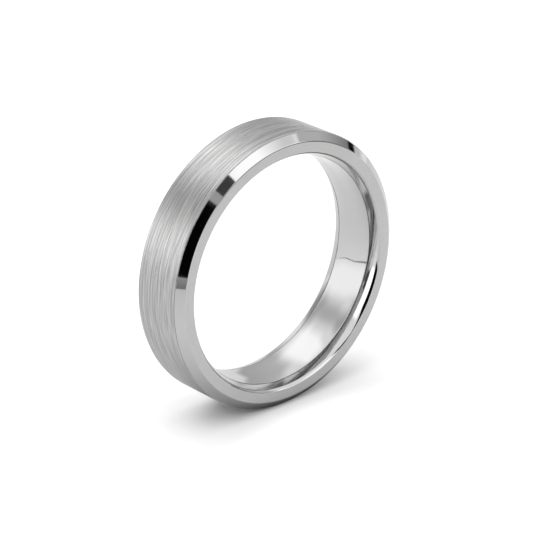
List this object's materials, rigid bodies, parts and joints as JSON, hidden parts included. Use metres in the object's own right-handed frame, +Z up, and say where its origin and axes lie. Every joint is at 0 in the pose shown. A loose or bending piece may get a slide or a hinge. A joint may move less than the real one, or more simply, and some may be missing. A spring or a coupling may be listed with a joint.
{
  "type": "wedding band",
  "caption": "Comfort-fit wedding band with a brushed centre, polished bevelled edges and a polished bore, pressed together from a liner, a centre band and edge rings.",
  "frame": {"origin": "centre of the finger bore, midway between the two side faces", "axes": "+Y along the bore's axis, from the front side face to the rear one; +Z up, with the band standing on its edge"},
  "size_m": [0.0216, 0.005, 0.0216],
  "materials": {
    "polished_liner": "mirror polish",
    "brushed_centre": "fine brushing around the band",
    "polished_edge": "mirror polished bevel and lip, satin side face"
  },
  "bodies": {
    "root": {"comfort_liner": "polished_liner", "brushed_centre_band": "brushed_centre", "front_edge_ring": "polished_edge", "rear_edge_ring": "polished_edge"}
  },
  "joints": []
}
